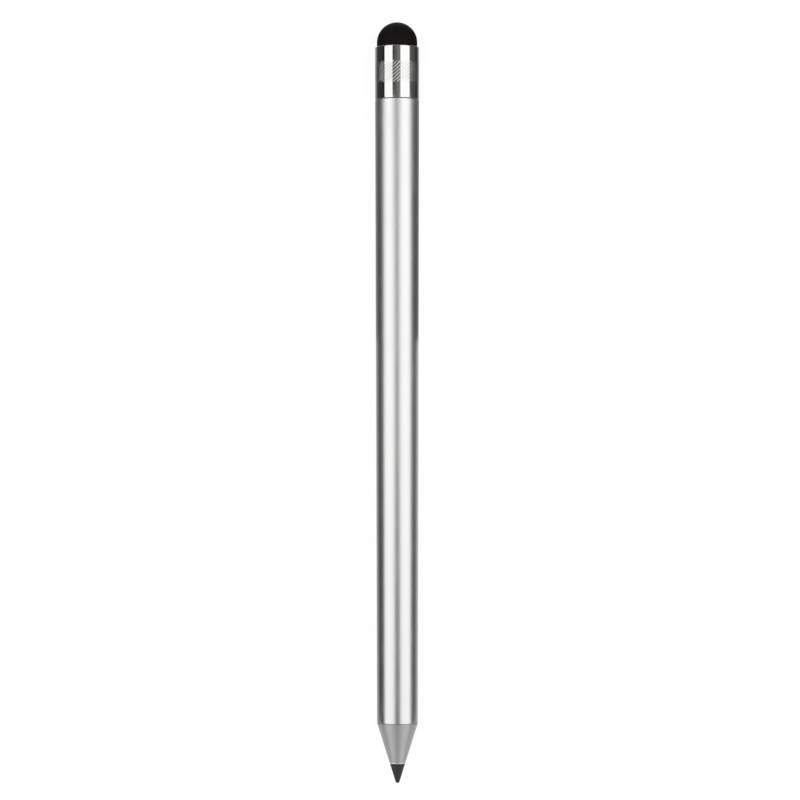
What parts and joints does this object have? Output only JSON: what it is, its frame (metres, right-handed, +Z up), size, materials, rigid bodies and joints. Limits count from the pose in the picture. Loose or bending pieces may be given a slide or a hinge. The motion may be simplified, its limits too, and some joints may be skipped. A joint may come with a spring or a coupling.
{
  "type": "stylus pen",
  "caption": "Slim pencil-shaped stylus pen: a soft rubber dome in a chromed screw-off ferrule at one end, a satin metal barrel, and a hard pointed nib in a screw-off nose cone at the other.",
  "frame": {"origin": "on the surface that the pen lies on, under the middle of its length", "axes": "+Y along the pen towards the rubber dome, +Z up, +X to the right seen from the nib"},
  "size_m": [0.008, 0.1384, 0.008],
  "materials": {
    "satin_aluminium": "satin, fine lengthwise grain",
    "matte_aluminium": "bead-blasted, matte",
    "chrome": "mirror plated, engraved band",
    "brass": "turned",
    "black_rubber": "matte",
    "dark_plastic": "moulded, slightly worn",
    "black_plastic": "moulded",
    "white_plastic": "moulded"
  },
  "bodies": {
    "barrel": {"barrel_tube": "satin_aluminium", "rear_insert": "brass", "front_insert": "brass"},
    "head_core": {"tip_plug": "black_plastic"},
    "head_shell": {"ferrule": "chrome", "head_stud": "brass"},
    "soft_tip": {"rubber_dome": "black_rubber"},
    "nose_core": {"nib_sleeve": "white_plastic"},
    "nose_shell": {"nose_cone": "matte_aluminium"},
    "point": {"nib": "dark_plastic"}
  },
  "joints": [
    {"name": "head_travel", "type": "slide", "parent": "barrel", "child": "head_core", "axis": [0, 1, 0], "range_m": [0, 0.004]},
    {"name": "head_turn", "type": "hinge", "parent": "head_core", "child": "head_shell", "pos_m": [0, 0.055, 0.004], "axis": [0, 1, 0], "range_deg": [0, 1800]},
    {"name": "dome_press", "type": "slide", "parent": "head_core", "child": "soft_tip", "axis": [0, -1, 0], "range_m": [0, 0.001], "stiffness_N_per_m": 1000, "deforming": ["rubber_dome"]},
    {"name": "nose_travel", "type": "slide", "parent": "barrel", "child": "nose_core", "axis": [0, -1, 0], "range_m": [0, 0.004]},
    {"name": "nose_turn", "type": "hinge", "parent": "nose_core", "child": "nose_shell", "pos_m": [0, -0.0581, 0.004], "axis": [0, -1, 0], "range_deg": [0, 1800]},
    {"name": "nib_pull", "type": "slide", "parent": "nose_core", "child": "point", "axis": [0, -1, 0], "range_m": [0, 0.009]}
  ],
  "couplings": [
    {"joint": "head_turn", "follows": "head_travel", "rad_per_m": 7854},
    {"joint": "nose_turn", "follows": "nose_travel", "rad_per_m": 7854}
  ]
}
